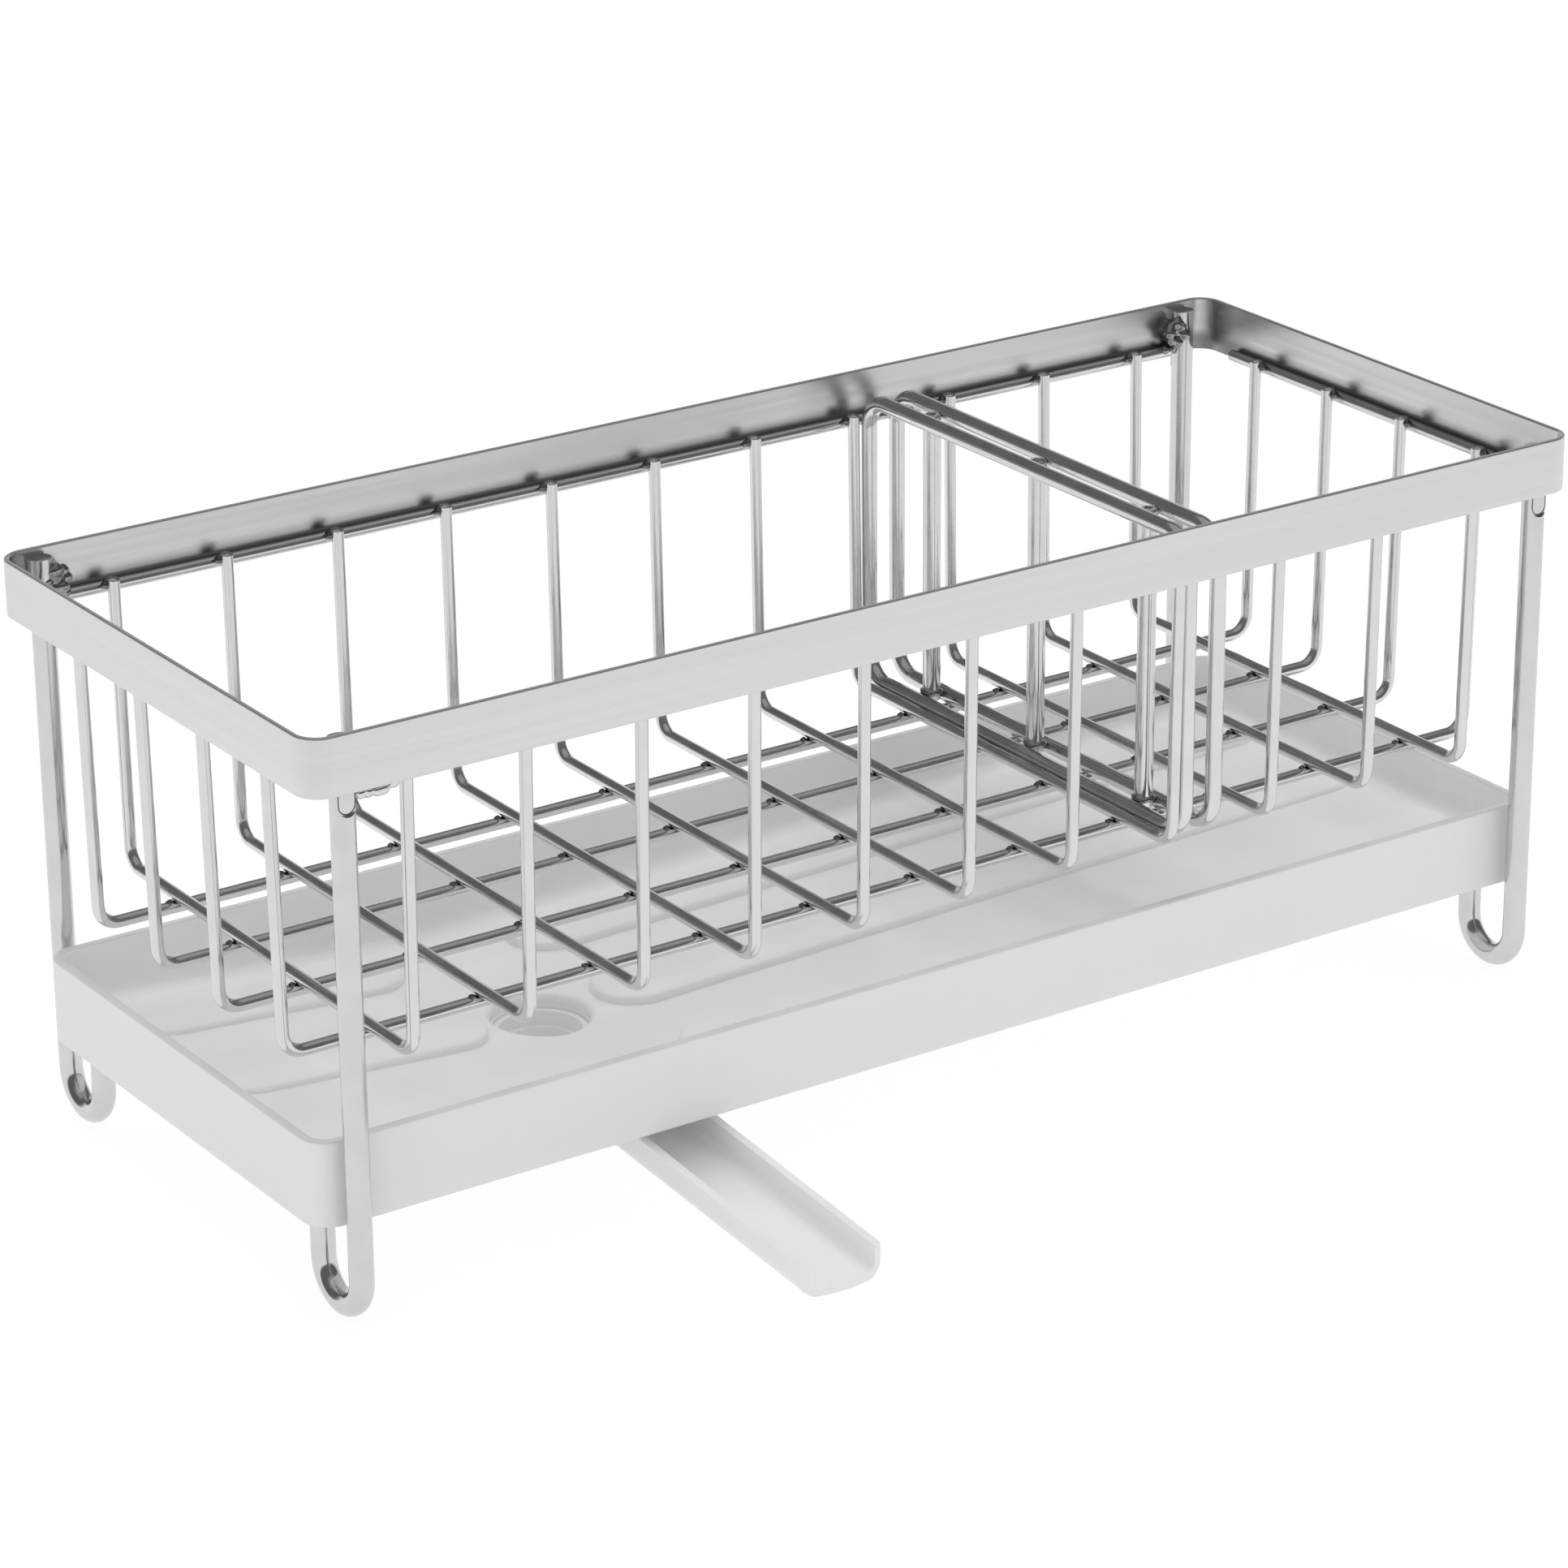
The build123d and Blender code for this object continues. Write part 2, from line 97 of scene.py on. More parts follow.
# ---- sizes and colours that a user would change -----------------------------------
class CaddySteel(bpy.types.PropertyGroup):
    """Colours and polish of the steel."""

    band_colour: bpy.props.FloatVectorProperty(
        name="Band colour",
        description="Colour of the brushed rim band",
        subtype="COLOR",
        size=3,
        default=(0.78, 0.78, 0.78),
    )
    wire_colour: bpy.props.FloatVectorProperty(
        name="Wire colour",
        description="Colour of the polished wires",
        subtype="COLOR",
        size=3,
        default=(0.74, 0.74, 0.74),
    )
    leg_colour: bpy.props.FloatVectorProperty(
        name="Leg colour",
        description="Colour of the polished legs",
        subtype="COLOR",
        size=3,
        default=(0.68, 0.68, 0.68),
    )
    melt_colour: bpy.props.FloatVectorProperty(
        name="Melt colour",
        description="Colour of the melted steel of a corner nugget",
        subtype="COLOR",
        size=3,
        default=(0.36, 0.36, 0.36),
    )
    # Besides the oxide round the welds, this colour is laid on the band's inner face just above the rails as
    # a painted reflection of the rail.
    weld_and_rail_shade_colour: bpy.props.FloatVectorProperty(
        name="Weld colour",
        description="Colour of the oxide round a weld",
        subtype="COLOR",
        size=3,
        default=(0.2, 0.2, 0.2),
    )
    brush_grain: bpy.props.FloatProperty(
        name="Brush grain",
        description="Brush lines in a metre across the grain",
        default=6500.0,
        min=100.0,
    )


class CaddyPlastic(bpy.types.PropertyGroup):
    """Colours and texture of the moulded plastic."""

    tray_colour: bpy.props.FloatVectorProperty(
        name="Tray colour",
        description="Colour of the drain tray",
        subtype="COLOR",
        size=3,
        default=(0.9, 0.9, 0.9),
    )
    spout_colour: bpy.props.FloatVectorProperty(
        name="Spout colour",
        description="Colour of the spout",
        subtype="COLOR",
        size=3,
        default=(0.94, 0.94, 0.94),
    )
    # Painted shade: this colour draws a darker line along the top of the tray's rim, where the rim falls in
    # shade; it is not wear from handling.
    rim_shade_colour: bpy.props.FloatVectorProperty(
        name="Rim colour",
        description="Colour of the drain tray's rim, where it has been handled",
        subtype="COLOR",
        size=3,
        default=(0.7, 0.7, 0.7),
    )
    grain: bpy.props.FloatProperty(
        name="Mould texture",
        description="Height of the fine texture of the mould",
        default=0.00003,
        min=0.0,
        unit="LENGTH",
    )


class CaddyWelds(bpy.types.PropertyGroup):
    """Sizes of the weld beads."""

    crossing: bpy.props.FloatVectorProperty(
        name="Crossing weld",
        description="Size of the weld where two floor wires cross",
        subtype="XYZ",
        unit="LENGTH",
        size=3,
        default=(1.5 * MM, 1.3 * MM, 1.0 * MM),
    )
    hoop_end: bpy.props.FloatVectorProperty(
        name="Hoop end weld",
        description="Size of the weld between a hoop's end and its rail: along the rail, across it, up",
        subtype="XYZ",
        unit="LENGTH",
        size=3,
        default=(2.0 * MM, 2.0 * MM, 1.9 * MM),
    )
    nugget: bpy.props.FloatProperty(
        name="Corner nugget",
        description="Width of the weld nugget that joins a leg to the band",
        default=6.0 * MM,
        unit="LENGTH",
    )
    seam_radius: bpy.props.FloatProperty(
        name="Leg seam radius",
        description="Radius of the round lower end of the seam at the top of each leg",
        default=1.6 * MM,
        unit="LENGTH",
    )
    bar: bpy.props.FloatVectorProperty(
        name="Bar weld",
        description="Size of the weld at the foot of a divider bar",
        subtype="XYZ",
        unit="LENGTH",
        size=3,
        default=(4.6 * MM, 5.0 * MM, 2.2 * MM),
    )


class CaddyStage(bpy.types.PropertyGroup):
    """Camera and studio light."""

    camera_place: bpy.props.FloatVectorProperty(
        name="Camera place",
        description="Where the camera stands",
        subtype="XYZ",
        unit="LENGTH",
        size=3,
        default=(-0.54419, -0.79917, 0.44283),
    )
    camera_turn: bpy.props.FloatVectorProperty(
        name="Camera turn",
        description="The camera's pitch, roll and heading",
        subtype="EULER",
        size=3,
        default=(math.radians(68.0555), math.radians(0.4629), math.radians(-34.1577)),
    )
    lens: bpy.props.FloatProperty(
        name="Lens",
        description="Focal length in millimetres",
        default=125.1,
        min=10.0,
    )
    ceiling: bpy.props.FloatProperty(
        name="Ceiling",
        description="How bright the studio's ceiling looks in polished steel",
        default=0.136,
        min=0.0,
        max=1.0,
        subtype="FACTOR",
    )
    ambient: bpy.props.FloatProperty(
        name="Ambient light",
        description="Strength of the soft light from all round",
        default=0.656,
        min=0.0,
    )


# ---- working in the scene ---------------------------------------------------------
def clear_selection():
    bpy.ops.object.select_all(action="DESELECT")


def choose(pieces):
    """Select these pieces alone, the first one active."""
    clear_selection()
    for piece in pieces:
        piece.select_set(True)
    bpy.context.view_layer.objects.active = pieces[0]


def apply_modifiers(piece):
    choose([piece])
    for modifier in list(piece.modifiers):
        bpy.ops.object.modifier_apply(modifier=modifier.name)


def join_as(name, pieces):
    """Apply the pieces' places and join them into one piece of this name."""
    choose(pieces)
    bpy.ops.object.transform_apply(location=True, rotation=True, scale=True)
    if len(pieces) > 1:
        bpy.ops.object.join()
    piece = bpy.context.view_layer.objects.active
    piece.name = name
    piece.data.name = name
    return piece


def edit_where(piece, test):
    """Go into edit mode with only the vertices selected whose place passes the test."""
    bpy.ops.object.mode_set(mode="EDIT")
    bpy.ops.mesh.select_mode(type="VERT")
    bpy.ops.mesh.select_all(action="DESELECT")
    bpy.ops.object.mode_set(mode="OBJECT")
    for vertex in piece.data.vertices:
        vertex.select = test(vertex.co)
    bpy.ops.object.mode_set(mode="EDIT")


def bead(size):
    """A weld bead: a small ball with its upper part drawn in, flattened to size."""
    shoulder = 0.2
    drawn_in = 0.8
    clear_selection()
    bpy.ops.mesh.primitive_ico_sphere_add(subdivisions=3, radius=0.5)
    piece = bpy.context.view_layer.objects.active
    edit_where(piece, lambda co: co.z > shoulder)
    bpy.ops.transform.resize(value=(drawn_in, drawn_in, 1.0))
    bpy.ops.mesh.select_all(action="SELECT")
    bpy.ops.transform.resize(value=tuple(size), center_override=(0, 0, 0))
    bpy.ops.object.mode_set(mode="OBJECT")
    return piece


def copies_at(model, places, name):
    """Copy the model to each place, a matrix, join the copies and remove the model."""
    copies = []
    for place in places:
        copy = model.copy()
        copy.data = model.data.copy()
        bpy.context.scene.collection.objects.link(copy)
        copy.matrix_world = place
        copies.append(copy)
    bpy.data.objects.remove(model)
    return join_as(name, copies)


def roughen(piece, size, strength):
    """Break up a weld's surface with lumps of the given size."""
    lumps = bpy.data.textures.new(piece.name + "_lumps", "CLOUDS")
    lumps.noise_scale = size
    lumps.noise_depth = 2
    modifier = piece.modifiers.new("lumps", "DISPLACE")
    modifier.texture = lumps
    modifier.texture_coords = "LOCAL"
    modifier.strength = strength
    modifier.mid_level = 0.5
    apply_modifiers(piece)


def finish_piece(piece, body, material_name):
    """Smooth the piece, give it its material and let it ride on its body."""
    choose([piece])
    bpy.ops.object.shade_smooth()
    piece.data.materials.clear()
    piece.data.materials.append(bpy.data.materials[material_name])
    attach(piece, body)


def dress(names, material_name):
    """Give these nodes of the frame their material."""
    for name in names:
        for material_slot in NODES[name].material_slots:
            material_slot.material = bpy.data.materials[material_name]


# ---- shader nodes -----------------------------------------------------------------
# What a node takes is a plain number or tuple, or the output of another node.
def feed(tree, socket, value):
    if isinstance(value, bpy.types.NodeSocket):
        tree.links.new(value, socket)
    else:
        socket.default_value = value


def fed_node(tree, kind, *values):
    """Add a node, feed its first inputs in order and give its outputs."""
    node = tree.nodes.new(kind)
    for socket, value in zip(node.inputs, values):
        feed(tree, socket, value)
    return node.outputs


def math_node(tree, operation, *values):
    node = tree.nodes.new("ShaderNodeMath")
    node.operation = operation
    for socket, value in zip(node.inputs, values):
        feed(tree, socket, value)
    return node.outputs["Value"]


def vector_node(tree, operation, *values):
    """Gives a vector, or a number where the operation makes one."""
    node = tree.nodes.new("ShaderNodeVectorMath")
    node.operation = operation
    for socket, value in zip(node.inputs, values):
        feed(tree, socket, value)
    makes_number = operation in ("LENGTH", "DOT_PRODUCT")
    return node.outputs["Value" if makes_number else "Vector"]


def range_node(tree, value, low, high, to_low, to_high):
    """A smooth step from to_low, where the value is low, to to_high, where it is high."""
    node = tree.nodes.new("ShaderNodeMapRange")
    node.interpolation_type = "SMOOTHSTEP"
    feed(tree, node.inputs["Value"], value)
    feed(tree, node.inputs["From Min"], low)
    feed(tree, node.inputs["From Max"], high)
    feed(tree, node.inputs["To Min"], to_low)
    feed(tree, node.inputs["To Max"], to_high)
    return node.outputs["Result"]


def noise_node(tree, vector, scale, detail=2.0, roughness=0.5):
    node = tree.nodes.new("ShaderNodeTexNoise")
    feed(tree, node.inputs["Vector"], vector)
    feed(tree, node.inputs["Scale"], scale)
    feed(tree, node.inputs["Detail"], detail)
    feed(tree, node.inputs["Roughness"], roughness)
    return node.outputs["Fac"]


def mix_node(tree, kind, factor, first, second, blend="MIX"):
    """Mix two numbers (kind FLOAT) or two colours (kind RGBA)."""
    node = tree.nodes.new("ShaderNodeMix")
    node.data_type = kind
    node.blend_type = blend
    feed(tree, node.inputs["Factor"], factor)
    feed(tree, node.inputs["A"], first)
    feed(tree, node.inputs["B"], second)
    return node.outputs["Result"]


# ---- node groups ------------------------------------------------------------------
# Which of a noise's values, that lie round a half, count as its lowest and highest.
NOISE_NARROW = (0.35, 0.65)
NOISE_MEDIUM = (0.3, 0.7)
NOISE_WIDE = (0.25, 0.75)


def new_group(name, inputs, outputs):
    """An empty node group: a Vector, the inputs with their defaults, and outputs that are numbers."""
    tree = bpy.data.node_groups.new(name, "ShaderNodeTree")
    tree.interface.new_socket("Vector", in_out="INPUT", socket_type="NodeSocketVector")
    for label, default in inputs.items():
        kind = "NodeSocketVector" if isinstance(default, tuple) else "NodeSocketFloat"
        socket = tree.interface.new_socket(label, in_out="INPUT", socket_type=kind)
        socket.default_value = default
    for label in outputs:
        tree.interface.new_socket(label, in_out="OUTPUT", socket_type="NodeSocketFloat")
    given = tree.nodes.new("NodeGroupInput").outputs
    result = tree.nodes.new("NodeGroupOutput").inputs
    return tree, given, result


def brushed_group():
    """Brush lines that run level round the band: fine across their height, long along it."""
    tree, given, result = new_group(
        "brushed_lines",
        {
            "Lines": 6500.0,
            "Broad Share": 0.15,
            "Smooth": 0.28,
            "Rough": 0.4,
            "Darkest": 0.985,
        },
        ["Roughness", "Height", "Shade"],
    )
    along = 0.012
    broad_height = 0.25
    stretch = tree.nodes.new("ShaderNodeMapping")
    stretch.inputs["Scale"].default_value = (along, along, 1.0)
    tree.links.new(given["Vector"], stretch.inputs["Vector"])
    stretched = stretch.outputs["Vector"]
    fine = noise_node(tree, stretched, given["Lines"], detail=3.0, roughness=0.6)
    broad_lines = math_node(tree, "MULTIPLY", given["Lines"], given["Broad Share"])
    broad = noise_node(tree, stretched, broad_lines)
    rough = range_node(tree, broad, *NOISE_MEDIUM, given["Smooth"], given["Rough"])
    tree.links.new(rough, result["Roughness"])
    height = math_node(tree, "MULTIPLY_ADD", broad, broad_height, fine)
    tree.links.new(height, result["Height"])
    shade = range_node(tree, broad, *NOISE_WIDE, given["Darkest"], 1.0)
    tree.links.new(shade, result["Shade"])


def drawn_group():
    """Drawn and polished wire: cloudy polish and fine pits."""
    tree, given, result = new_group(
        "drawn_wire",
        {
            "Clouds": 160.0,
            "Pits": 1500.0,
            "Smooth": 0.1,
            "Rough": 0.22,
            "Darkest": 0.94,
        },
        ["Roughness", "Height", "Shade"],
    )
    clouds = noise_node(tree, given["Vector"], given["Clouds"], detail=3.0)
    rough = range_node(tree, clouds, *NOISE_NARROW, given["Smooth"], given["Rough"])
    tree.links.new(rough, result["Roughness"])
    pits = noise_node(tree, given["Vector"], given["Pits"])
    tree.links.new(pits, result["Height"])
    shade = range_node(tree, clouds, *NOISE_MEDIUM, given["Darkest"], 1.0)
    tree.links.new(shade, result["Shade"])


def mould_group():
    """Fine spark-eroded texture of a mould, with faint flow clouds."""
    tree, given, result = new_group(
        "mould_texture",
        {
            "Clouds": 28.0,
            "Grain": 2200.0,
            "Smooth": 0.42,
            "Rough": 0.55,
            "Darkest": 0.985,
        },
        ["Roughness", "Height", "Shade"],
    )
    clouds = noise_node(tree, given["Vector"], given["Clouds"])
    rough = range_node(tree, clouds, *NOISE_NARROW, given["Smooth"], given["Rough"])
    tree.links.new(rough, result["Roughness"])
    grain = noise_node(tree, given["Vector"], given["Grain"], detail=3.0)
    tree.links.new(grain, result["Height"])
    shade = range_node(tree, clouds, *NOISE_MEDIUM, given["Darkest"], 1.0)
    tree.links.new(shade, result["Shade"])


def weld_heat_group():
    """Mask of the oxide on the wires round each crossing of the floor grid."""
    tree, given, result = new_group(
        "weld_heat",
        {
            "Pitch X": CROSS_PITCH,
            "Pitch Y": LONG_PITCH,
            "Shift Y": LONG_PITCH / 2,
            "Height": FLOOR_CONTACT_Z,
            "Reach": 1.4 * MM,
            "Full Share": 0.45,
        },
        ["Mask"],
    )
    place = fed_node(tree, "ShaderNodeSeparateXYZ", given["Vector"])
    shifted = math_node(tree, "SUBTRACT", place["Y"], given["Shift Y"])
    away = []
    for along, pitch in ((place["X"], given["Pitch X"]), (shifted, given["Pitch Y"])):
        half = math_node(tree, "MULTIPLY", pitch, 0.5)
        minus_half = math_node(tree, "MULTIPLY", half, -1.0)
        away.append(math_node(tree, "WRAP", along, half, minus_half))
    away.append(math_node(tree, "SUBTRACT", place["Z"], given["Height"]))
    from_crossing = fed_node(tree, "ShaderNodeCombineXYZ", *away)["Vector"]
    distance = vector_node(tree, "LENGTH", from_crossing)
    full = math_node(tree, "MULTIPLY", given["Reach"], given["Full Share"])
    mask = range_node(tree, distance, full, given["Reach"], 1.0, 0.0)
    tree.links.new(mask, result["Mask"])


def band_inside_group():
    """Which points are on the band's inner face, and a painted reflection of the rail: a darker strip just
    above the rails on that face.
    """
    # No point is this high, so that only its place in plan counts.
    above_all = 1.0
    tree, given, result = new_group(
        "band_inside",
        {
            "Straight Half": (BAND_HIGH.x - BAND_CORNER_R, BAND_HIGH.y - BAND_CORNER_R, above_all),
            "Corner": BAND_CORNER_R,
            "Rail Top": RAIL_Z + WIRE_R,
            "Soot Height": 2.6 * MM,
            "Soot Strength": 0.75,
        },
        ["Inside", "Soot"],
    )
    mirrored = vector_node(tree, "ABSOLUTE", given["Vector"])
    past = vector_node(tree, "SUBTRACT", mirrored, given["Straight Half"])
    bent = vector_node(tree, "MAXIMUM", past, (0.0, 0.0, 0.0))
    from_bend = vector_node(tree, "LENGTH", bent)
    depth = math_node(tree, "SUBTRACT", given["Corner"], from_bend)
    inside = range_node(tree, depth, 0.3 * BAND_THICK, 0.7 * BAND_THICK, 0.0, 1.0)
    tree.links.new(inside, result["Inside"])
    # Painted reflection: darker just above the rail on the inner face, where the rail shows mirrored in the
    # band.
    place = fed_node(tree, "ShaderNodeSeparateXYZ", given["Vector"])
    above = math_node(tree, "SUBTRACT", place["Z"], given["Rail Top"])
    low = range_node(tree, above, 0.0, given["Soot Height"], given["Soot Strength"], 0.0)
    tree.links.new(math_node(tree, "MULTIPLY", inside, low), result["Soot"])


def rim_shade_group():
    """Mask of the last fraction of a millimetre below a piece's top, where the tray's rim gets a painted
    shade line.
    """
    tree, given, result = new_group(
        "rim_shade_line",
        {
            "Top": TRAY_TOP_Z,
            "Depth": 0.45 * MM,
            "Full Share": 0.3,
        },
        ["Mask"],
    )
    place = fed_node(tree, "ShaderNodeSeparateXYZ", given["Vector"])
    below = math_node(tree, "SUBTRACT", given["Top"], place["Z"])
    full = math_node(tree, "MULTIPLY", given["Depth"], given["Full Share"])
    mask = range_node(tree, below, full, given["Depth"], 1.0, 0.0)
    tree.links.new(mask, result["Mask"])


# ---- materials --------------------------------------------------------------------
BRUSH_DEPTH = 0.001 * MM
PIT_DEPTH = 0.003 * MM


def start_material(name, metallic):
    material = bpy.data.materials.new(name)
    material.use_nodes = True
    tree = material.node_tree
    shader = tree.nodes["Principled BSDF"]
    shader.inputs["Metallic"].default_value = metallic
    place = fed_node(tree, "ShaderNodeTexCoord")["Object"]
    return tree, shader, place


def place_group(tree, name, place, **values):
    """Put a node group in a material, feed its inputs by name and give its outputs."""
    node = tree.nodes.new("ShaderNodeGroup")
    node.node_tree = bpy.data.node_groups[name]
    feed(tree, node.inputs["Vector"], place)
    for label, value in values.items():
        feed(tree, node.inputs[label], value)
    return node.outputs


def shaded_colour(tree, shader, colour, shade, tint=None, mask=None):
    """Colour times a shade from a group, mixed with a tint under a mask."""
    result = mix_node(tree, "RGBA", 1.0, (*colour, 1.0), shade, blend="MULTIPLY")
    if mask is not None:
        result = mix_node(tree, "RGBA", mask, result, (*tint, 1.0))
    tree.links.new(result, shader.inputs["Base Color"])


def textured(tree, shader, finish, depth):
    """Give the shader a finish group's roughness, and its height as bumps of this depth."""
    tree.links.new(finish["Roughness"], shader.inputs["Roughness"])
    node = tree.nodes.new("ShaderNodeBump")
    node.inputs["Strength"].default_value = 1.0
    node.inputs["Distance"].default_value = depth
    tree.links.new(finish["Height"], node.inputs["Height"])
    tree.links.new(node.outputs["Normal"], shader.inputs["Normal"])


def brushed_steel(name, colour, rail_reflection_colour, lines):
    """Steel brushed along the band; its inner face is smoother, painted a little darker as shade, and
    carries a painted reflection of the rail low down.
    """
    tree, shader, place = start_material(name, metallic=1.0)
    sides = place_group(tree, "band_inside", place)
    smooth = range_node(tree, sides["Inside"], 0.0, 1.0, 0.34, 0.28)
    rough = range_node(tree, sides["Inside"], 0.0, 1.0, 0.4, 0.36)
    # Painted shade: the band's inner face is drawn a little darker than its outer face.
    painted_inside_shade = range_node(tree, sides["Inside"], 0.0, 1.0, 1.0, 0.91)
    brushed = place_group(tree, "brushed_lines", place, Lines=lines, Smooth=smooth, Rough=rough)
    shade = math_node(tree, "MULTIPLY", brushed["Shade"], painted_inside_shade)
    # Painted reflection of the rail low on the inner face, in the weld colour.
    shaded_colour(tree, shader, colour, shade, rail_reflection_colour, sides["Soot"])
    textured(tree, shader, brushed, BRUSH_DEPTH)


def polished_steel(name, colour, smooth, rough, heat=None):
    """Drawn steel between two roughnesses; heat is the colour of the oxide round the floor's crossings."""
    tree, shader, place = start_material(name, metallic=1.0)
    drawn = place_group(tree, "drawn_wire", place, Smooth=smooth, Rough=rough)
    mask = None
    if heat is not None:
        mask = place_group(tree, "weld_heat", place)["Mask"]
    shaded_colour(tree, shader, colour, drawn["Shade"], heat, mask)
    textured(tree, shader, drawn, PIT_DEPTH)


def moulded_plastic(name, colour, smooth, rough, grain, rim=None):
    """Moulded plastic between two roughnesses; rim is the colour of a painted shade line along the drain
    tray's top.
    """
    tree, shader, place = start_material(name, metallic=0.0)
    shader.inputs["Subsurface Weight"].default_value = 0.3
    shader.inputs["Subsurface Radius"].default_value = (1.0, 1.0, 1.0)
    shader.inputs["Subsurface Scale"].default_value = 2.0 * MM
    mould = place_group(tree, "mould_texture", place, Smooth=smooth, Rough=rough)
    mask = None
    # Painted shade: a darker line along the top of the tray's rim.
    if rim is not None:
        mask = place_group(tree, "rim_shade_line", place)["Mask"]
    shaded_colour(tree, shader, colour, mould["Shade"], rim, mask)
    textured(tree, shader, mould, grain)


# ---- operators --------------------------------------------------------------------
class CADDY_OT_finishes(bpy.types.Operator):
    """Build the node groups and the caddy's materials."""

    bl_idname = "caddy.finishes"
    bl_label = "Make Finishes"

    def execute(self, context):
        steel = context.scene.caddy_steel
        plastic = context.scene.caddy_plastic
        brushed_group()
        drawn_group()
        mould_group()
        weld_heat_group()
        band_inside_group()
        rim_shade_group()
        brushed_steel("brushed_band", steel.band_colour, steel.weld_and_rail_shade_colour, steel.brush_grain)
        polished_steel("polished_wire", steel.wire_colour, smooth=0.12, rough=0.22, heat=steel.weld_and_rail_shade_colour)
        polished_steel("polished_leg", steel.leg_colour, smooth=0.12, rough=0.2)
        polished_steel("divider_wire", steel.wire_colour, smooth=0.1, rough=0.18)
        polished_steel("weld_metal", steel.wire_colour, smooth=0.1, rough=0.3)
        polished_steel("melted_steel", steel.melt_colour, smooth=0.06, rough=0.2)
        polished_steel("weld_oxide", steel.weld_and_rail_shade_colour, smooth=0.15, rough=0.35)
        moulded_plastic("tray_plastic", plastic.tray_colour, 0.42, 0.55, plastic.grain, plastic.rim_shade_colour)
        moulded_plastic("spout_plastic", plastic.spout_colour, 0.3, 0.42, plastic.grain / 2)
        return {"FINISHED"}


class CADDY_OT_steel(bpy.types.Operator):
    """Give the band, rails, hoops, legs and divider their steel."""

    bl_idname = "caddy.steel"
    bl_label = "Dress Steel"

    def execute(self, context):
        dress(["rim_band"], "brushed_band")
        dress(RAILS + CROSS_HOOPS + LONG_HOOPS, "polished_wire")
        dress(LEG_FRAMES, "polished_leg")
        dress(DIVIDER_LOOPS + DIVIDER_BARS, "divider_wire")
        return {"FINISHED"}


class CADDY_OT_plastic(bpy.types.Operator):
    """Give the drain tray and the spout their plastic."""

    bl_idname = "caddy.plastic"
    bl_label = "Dress Plastic"

    def execute(self, context):
        dress(["drain_tray"], "tray_plastic")
        dress(["spout"], "spout_plastic")
        return {"FINISHED"}


class CADDY_OT_floor_welds(bpy.types.Operator):
    """Weld the cross hoops to the long hoops at each crossing of the floor."""

    bl_idname = "caddy.floor_welds"
    bl_label = "Floor Welds"

    def execute(self, context):
        model = bead(context.scene.caddy_welds.crossing)
        beside = 1.2 * WIRE_R
        places = [Matrix.Translation((x - beside, y, FLOOR_CONTACT_Z)) for x in CROSS_XS for y in LONG_YS]
        piece = copies_at(model, places, "floor_welds")
        roughen(piece, size=0.9 * MM, strength=0.4 * MM)
        finish_piece(piece, "basket", "weld_oxide")
        return {"FINISHED"}


def hoop_ends():
    """Each hoop's end: its middle, and the direction from there to its rail."""
    ends = []
    for side in (-1, 1):
        ends += [(Vector((x, side * CROSS_TOP_Y, HOOP_TOP_Z)), Vector((0, side, 0))) for x in CROSS_XS]
        ends += [(Vector((side * LONG_TOP_X, y, HOOP_TOP_Z)), Vector((side, 0, 0))) for y in LONG_YS]
    return ends


class CADDY_OT_rail_welds(bpy.types.Operator):
    """Weld each hoop's end to its rail, with the end melted to a dome."""

    bl_idname = "caddy.rail_welds"
    bl_label = "Rail Welds"

    def execute(self, context):
        ends = hoop_ends()
        cap_size = Vector((2.15, 2.15, 0.7)) * WIRE_R
        caps = [Matrix.Translation(end + outward * 0.25 * WIRE_R) for end, outward in ends]
        piece = copies_at(bead(cap_size), caps, "hoop_end_caps")
        roughen(piece, size=1.5 * MM, strength=0.2 * MM)
        finish_piece(piece, "basket", "weld_metal")
        beads = []
        for end, outward in ends:
            turn = Matrix.Rotation(math.atan2(outward.x, outward.y), 4, "Z").inverted()
            aside = Vector((-abs(outward.y), -abs(outward.x), 0))
            place = end + outward * 0.6 * WIRE_R + aside * WIRE_R + Vector((0, 0, -0.7 * WIRE_R))
            beads.append(Matrix.Translation(place) @ turn)
        piece = copies_at(bead(context.scene.caddy_welds.hoop_end), beads, "rail_welds")
        roughen(piece, size=1.0 * MM, strength=0.6 * MM)
        finish_piece(piece, "basket", "weld_oxide")
        return {"FINISHED"}


def nugget_spots(width, draw):
    """Melted lumps of one corner: a ring beside the leg, a plug to the band and a run to the rail's end."""
    ring_x = max(LEG_XS) - 0.43 * width
    ring_y = RAIL_Y - 0.3 * width
    ring_z = RAIL_Z + 0.7 * width
    ring_wide = 0.34 * width
    ring_high = 0.31 * width
    ring_share = 0.43
    plug_share = 0.55
    run_share = 0.36
    spots = []
    for step in range(8):
        turn = 2 * math.pi * step / 8 + draw.uniform(-0.2, 0.2)
        x = ring_x + ring_wide * math.cos(turn)
        z = ring_z + ring_high * math.sin(turn)
        spots.append((x, ring_y, z, ring_share))
    for step in range(3):
        y = ring_y + (0.12 + 0.12 * step) * width
        spots.append((ring_x + 0.05 * width, y, ring_z, plug_share))
    for step in range(2):
        x = RAIL_END_X - step * 0.3 * width
        spots.append((x, RAIL_Y - 0.12 * width, RAIL_Z + 0.1 * width, run_share))
    return spots


def drip_spots(width):
    """Weld metal that ran under the band's edge from the end of a rail."""
    sags = (0.16, 0.19, 0.17, 0.12, 0.04)
    drip_share = 0.45
    spots = []
    for step, sag in enumerate(sags):
        x = RAIL_END_X - step * 0.26 * width
        spots.append((x, RAIL_Y + 0.08 * width, BAND_LOW.z - sag * width, drip_share))
    return spots


